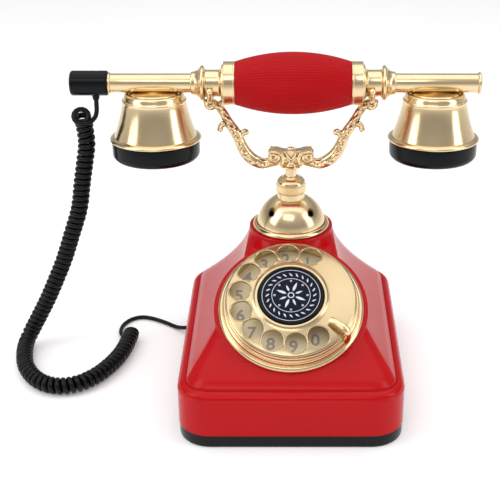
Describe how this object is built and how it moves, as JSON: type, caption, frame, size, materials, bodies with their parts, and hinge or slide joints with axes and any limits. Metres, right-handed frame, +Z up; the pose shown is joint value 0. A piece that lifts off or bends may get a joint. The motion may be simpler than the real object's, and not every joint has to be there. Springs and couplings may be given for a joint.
{
  "type": "rotary telephone",
  "caption": "Desk telephone with a rotary dial on a sloped housing, and a spindle handset lying on a sprung cradle with a curly cord.",
  "frame": {"origin": "middle of the base's underside", "axes": "+X along the handset towards the mouthpiece, -Y towards the front where the dial faces, +Z up"},
  "size_m": [0.3332, 0.184, 0.2293],
  "materials": {
    "red_shell": "high gloss red moulding",
    "black_plastic": "glossy black moulding",
    "gold_plate": "polished pale gold plate",
    "cast_gold": "bright gold plate over a cast relief",
    "gold_wheel": "satin pale gold plate",
    "number_gold": "champagne enamel with engraved figures",
    "badge_black": "black enamel",
    "badge_blue": "dark blue enamel with silver print",
    "rubber": "matt rubber",
    "steel": "zinc plated steel",
    "brass": "turned brass",
    "alloy": "stamped alloy can",
    "copper_coil": "varnished winding on a bobbin",
    "board": "green circuit board",
    "phenolic": "phenolic block with contact blades",
    "ivory": "ivory moulding",
    "cord_black": "glossy black cord sheath"
  },
  "bodies": {
    "base": {"base_pan": "black_plastic", "rubber_pads": "rubber", "pan_screws": "steel", "ballast_plate": "steel", "housing": "red_shell", "cord_grommet": "rubber", "line_jack": "ivory", "neck_ring": "gold_plate", "dome": "gold_plate", "neck_guide": "brass", "guide_locknut": "steel", "knurled_nut": "gold_plate", "hook_bracket": "steel", "hook_contacts": "phenolic", "hook_spring": "steel", "ringer_frame": "steel", "ringer_coil": "copper_coil", "gong_left": "brass", "gong_right": "brass", "circuit_board": "board", "dial_bezel": "gold_plate", "finger_stop": "gold_plate", "number_plate": "number_gold", "dial_front_plate": "alloy", "dial_back_plate": "alloy", "mainspring": "steel", "pulse_contacts": "phenolic", "cord_lead_top": "cord_black", "cord_curl": "cord_black", "cord_lead_floor": "cord_black"},
    "cradle": {"plunger": "gold_plate", "cradle": "cast_gold"},
    "hook_lever": {"hook_lever": "brass"},
    "clapper": {"clapper": "steel"},
    "dial": {"dial_shaft": "steel", "main_gear": "brass", "pulse_cam": "phenolic", "finger_wheel": "gold_wheel", "wheel_nut": "brass", "badge_rim": "badge_black", "badge_disc": "badge_blue"},
    "idler": {"idler_gear": "brass"},
    "governor": {"governor": "steel"},
    "handset": {"grip": "red_shell", "ferrules": "gold_plate", "collars": "gold_plate", "tubes": "gold_plate", "end_flanges": "gold_plate", "tie_rod": "steel", "cord_cap": "black_plastic", "cup_saddles": "gold_plate", "ear_cup": "gold_plate", "mouth_cup": "gold_plate", "cup_rims": "gold_plate", "ear_cap": "black_plastic", "mouth_cap": "black_plastic", "receiver_capsule": "alloy", "mic_capsule": "alloy"}
  },
  "joints": [
    {"name": "cradle_slide", "type": "slide", "parent": "base", "child": "cradle", "axis": [0, 0, 1], "range_m": [0, 0.004], "stiffness_N_per_m": 200, "springref_m": 0.016, "deforming": ["hook_spring"]},
    {"name": "handset_lift", "type": "slide", "parent": "cradle", "child": "handset", "axis": [0, 0, 1], "range_m": [0, 0.12]},
    {"name": "dial_turn", "type": "hinge", "parent": "base", "child": "dial", "pos_m": [0, -0.04118, 0.08379], "axis": [0, 0.515, -0.8572], "range_deg": [0, 322], "stiffness_Nm_per_rad": 0.006, "springref_deg": -114.59},
    {"name": "idler_spin", "type": "hinge", "parent": "base", "child": "idler", "pos_m": [-0.02816, -0.04379, 0.05655], "axis": [0, 0.515, -0.8572], "continuous": true},
    {"name": "governor_spin", "type": "hinge", "parent": "base", "child": "governor", "pos_m": [-0.01428, -0.05377, 0.05056], "axis": [0, 0.515, -0.8572], "continuous": true},
    {"name": "hook_lever_pivot", "type": "hinge", "parent": "base", "child": "hook_lever", "pos_m": [0, 0.045, 0.047], "axis": [-1, 0, 0], "range_deg": [0, 21]},
    {"name": "clapper_swing", "type": "hinge", "parent": "base", "child": "clapper", "pos_m": [0, 0.046, 0.02], "axis": [0, 0, 1], "range_deg": [-10, 10], "stiffness_Nm_per_rad": 0.005}
  ],
  "couplings": [
    {"joint": "idler_spin", "follows": "dial_turn", "ratio": -5},
    {"joint": "governor_spin", "follows": "dial_turn", "ratio": 20},
    {"joint": "hook_lever_pivot", "follows": "cradle_slide", "rad_per_m": 90.9}
  ]
}
